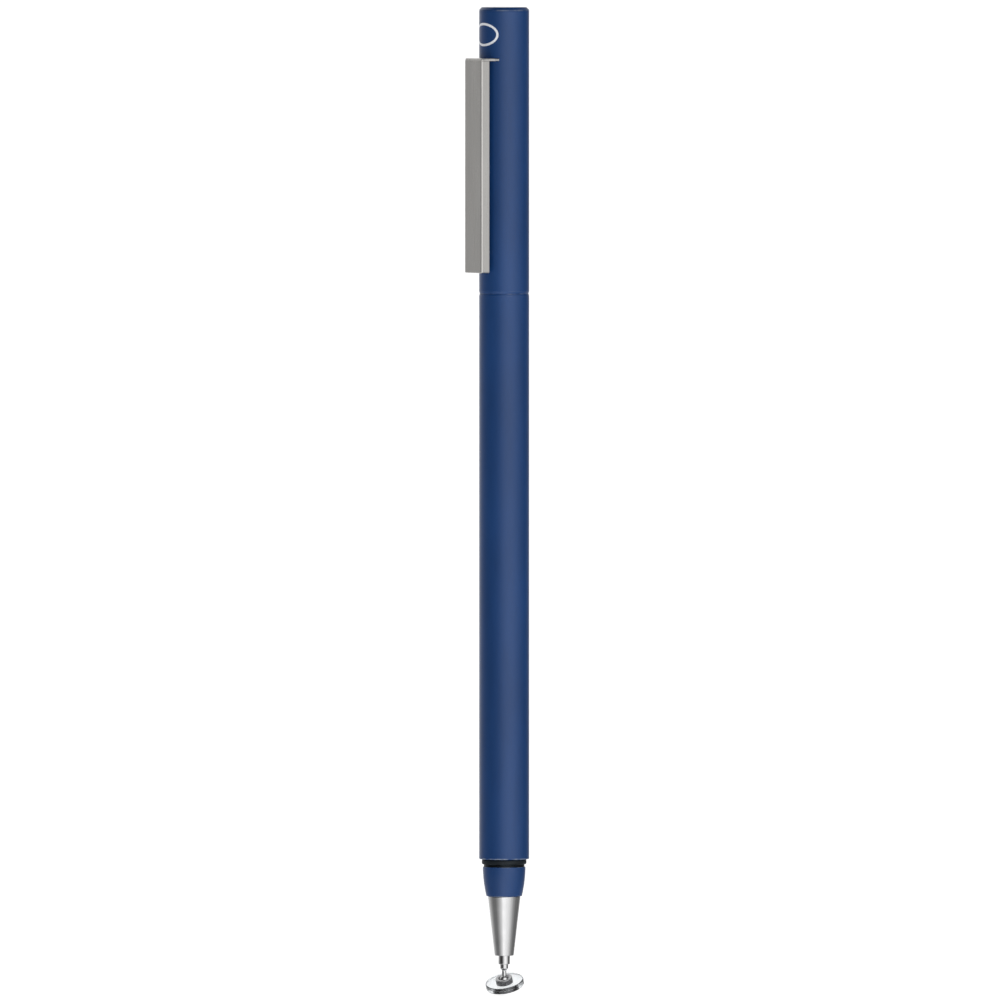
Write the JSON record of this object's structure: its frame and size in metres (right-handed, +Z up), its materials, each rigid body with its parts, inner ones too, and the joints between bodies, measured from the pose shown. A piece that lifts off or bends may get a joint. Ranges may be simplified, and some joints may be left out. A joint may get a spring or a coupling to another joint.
{
  "type": "touchscreen stylus",
  "caption": "Slim capped stylus for touchscreens, with a flat pocket clip and a clear contact disc on a ball joint.",
  "frame": {"origin": "on the pen's axis, level with the front end of the barrel tube, where the fingers hold it", "axes": "+Z up the pen's axis from the tip to the cap's closed end, -Y out through the pocket clip"},
  "size_m": [0.0074, 0.0094, 0.1479],
  "materials": {
    "navy_anodised": "fine bead-blasted, deep navy anodised, broad soft sheen",
    "black_anodised": "satin black anodised, fine turned lines",
    "polished_steel": "turned and polished, mirror-like round the cone",
    "satin_steel": "satin nickel, brushed along the clip",
    "dark_chrome": "dark polished plating",
    "spring_steel": "bright drawn wire",
    "brass": "turned brass",
    "black_rubber": "matt nitrile rubber",
    "sleeve_plastic": "moulded, slightly glossy",
    "clear_plastic": "clear, polished faces and a bright edge"
  },
  "bodies": {
    "barrel": {"barrel_tube": "navy_anodised", "front_collar": "black_anodised", "front_o_ring": "black_rubber", "nose_sleeve": "navy_anodised", "nose_cone": "polished_steel", "stem_bush": "polished_steel", "spring_seat_screw": "brass", "cushion_spring": "spring_steel", "balance_weight": "brass", "weight_o_ring_front": "black_rubber", "weight_o_ring_rear": "black_rubber", "rear_post": "black_anodised", "rear_o_ring": "black_rubber"},
    "stem": {"stem": "polished_steel"},
    "ball": {"pivot_ball": "polished_steel"},
    "ball_ring": {"ball_retaining_ring": "spring_steel"},
    "disc": {"disc_hub": "dark_chrome", "clear_disc": "clear_plastic"},
    "cap_sleeve": {"cap_inner_sleeve": "sleeve_plastic"},
    "cap": {"cap_shell": "navy_anodised", "cap_end_plug": "navy_anodised", "clip_anchor": "brass", "clip_pin": "spring_steel", "clip_plate": "satin_steel"},
    "clip": {"clip_bar": "satin_steel"}
  },
  "joints": [
    {"name": "cap_slide", "type": "slide", "parent": "barrel", "child": "cap_sleeve", "axis": [0, 0, 1], "range_m": [0, 0.03]},
    {"name": "cap_turn", "type": "hinge", "parent": "cap_sleeve", "child": "cap", "pos_m": [0, 0, 0.1], "axis": [0, 0, 1], "continuous": true},
    {"name": "clip_flex", "type": "hinge", "parent": "cap", "child": "clip", "pos_m": [0, -0.00568, 0.1197], "axis": [-1, 0, 0], "range_deg": [0, 4], "stiffness_Nm_per_rad": 1},
    {"name": "stem_plunge", "type": "slide", "parent": "barrel", "child": "stem", "axis": [0, 0, 1], "range_m": [0, 0.0005], "stiffness_N_per_m": 400, "springref_m": -0.001, "deforming": ["cushion_spring"]},
    {"name": "disc_tilt", "type": "hinge", "parent": "stem", "child": "ball", "pos_m": [0, 0, -0.01817], "axis": [0.8572, 0.515, 0], "range_deg": [-54, 6]},
    {"name": "disc_cross_tilt", "type": "hinge", "parent": "ball", "child": "ball_ring", "pos_m": [0, 0, -0.01817], "axis": [-0.4705, 0.7831, 0.4067], "range_deg": [-30, 30]},
    {"name": "disc_spin", "type": "hinge", "parent": "ball_ring", "child": "disc", "pos_m": [0, 0, -0.01817], "axis": [0.2095, -0.3486, 0.9135], "continuous": true}
  ]
}
